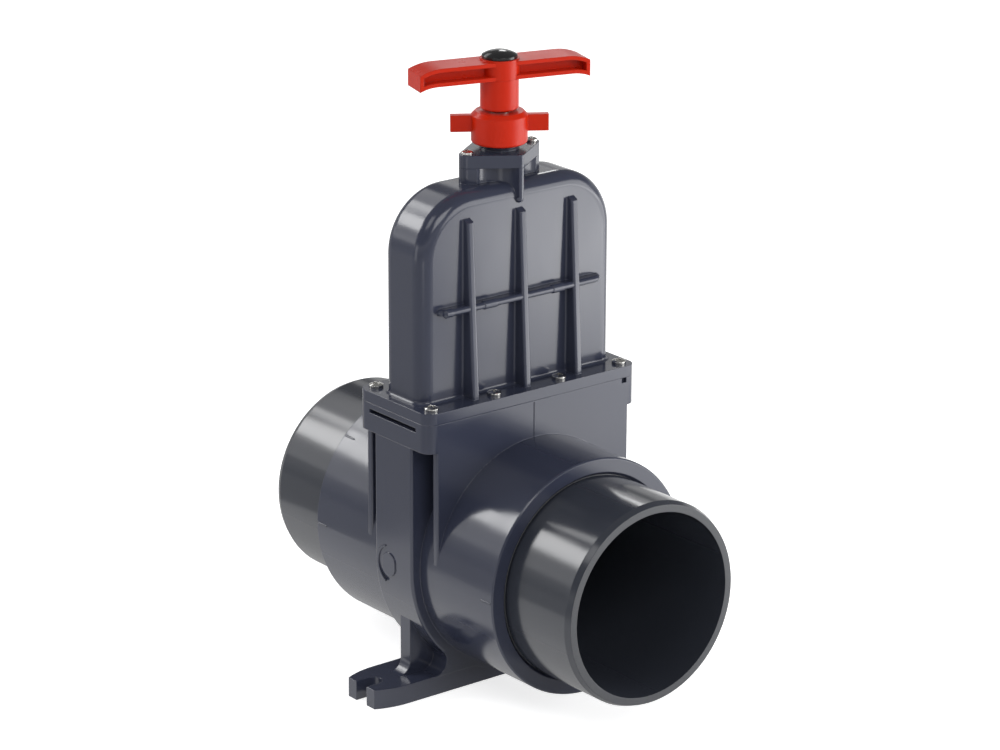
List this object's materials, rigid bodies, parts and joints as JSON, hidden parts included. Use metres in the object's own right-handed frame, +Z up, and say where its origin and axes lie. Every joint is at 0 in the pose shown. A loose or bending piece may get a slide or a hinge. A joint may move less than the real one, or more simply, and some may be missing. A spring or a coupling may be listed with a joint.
{
  "type": "pull-rod slide gate valve",
  "caption": "Plastic slide gate valve for solvent-welded pipe, with plain spigots, a flat gate on a pull rod, a ribbed hood, a T handle, a clamping wing nut and a slotted foot.",
  "frame": {"origin": "on the underside of the foot, midway between the foot's tips and under the pipe's centre line", "axes": "X across the valve along the foot, Y along the pipe towards the rear spigot, Z up along the pull rod"},
  "size_m": [0.2654, 0.369, 0.4937],
  "materials": {
    "pvc": "satin moulded rigid plastic, dark blue-grey",
    "pipe_pvc": "smooth extruded rigid plastic, dark blue-grey",
    "red_plastic": "satin moulded plastic, orange-red",
    "black_plastic": "glossy moulded plastic, black",
    "steel": "stainless steel",
    "brass": "turned brass",
    "rubber": "matt black rubber",
    "nylon": "natural nylon"
  },
  "bodies": {
    "housing": {"body": "pvc", "spigot_front": "pipe_pvc", "spigot_rear": "pipe_pvc", "seal_front": "rubber", "seal_rear": "rubber", "bonnet": "pvc", "bonnet_gasket": "rubber", "flange_inserts": "brass", "flange_screws": "steel", "guide_bush": "nylon", "rod_seal_lower": "rubber", "seal_spacer": "nylon", "rod_seal_upper": "rubber", "gland_plate": "pvc", "neck_screws": "steel", "clamp_collet": "nylon"},
    "gate": {"gate_plate": "pipe_pvc", "gate_yoke": "steel", "yoke_pins": "steel"},
    "rod": {"pull_rod": "steel", "handle_sleeve": "red_plastic", "t_handle": "red_plastic", "handle_washer": "steel", "handle_screw": "steel", "handle_cap": "black_plastic"},
    "ring": {"thrust_ring": "nylon"},
    "nut": {"wing_nut": "red_plastic"}
  },
  "joints": [
    {"name": "gate_lift", "type": "slide", "parent": "housing", "child": "gate", "axis": [0, 0, 1], "range_m": [0, 0.1565]},
    {"name": "handle_turn", "type": "hinge", "parent": "gate", "child": "rod", "pos_m": [0, 0, 0.208], "axis": [0, 0, 1], "continuous": true},
    {"name": "nut_lift", "type": "slide", "parent": "housing", "child": "ring", "axis": [0, 0, 1], "range_m": [0, 0.001]},
    {"name": "nut_turn", "type": "hinge", "parent": "ring", "child": "nut", "pos_m": [0, 0, 0.436], "axis": [0, 0, 1], "range_deg": [0, 120]}
  ],
  "couplings": [
    {"joint": "nut_lift", "follows": "nut_turn", "m_per_rad": 0.000477}
  ]
}
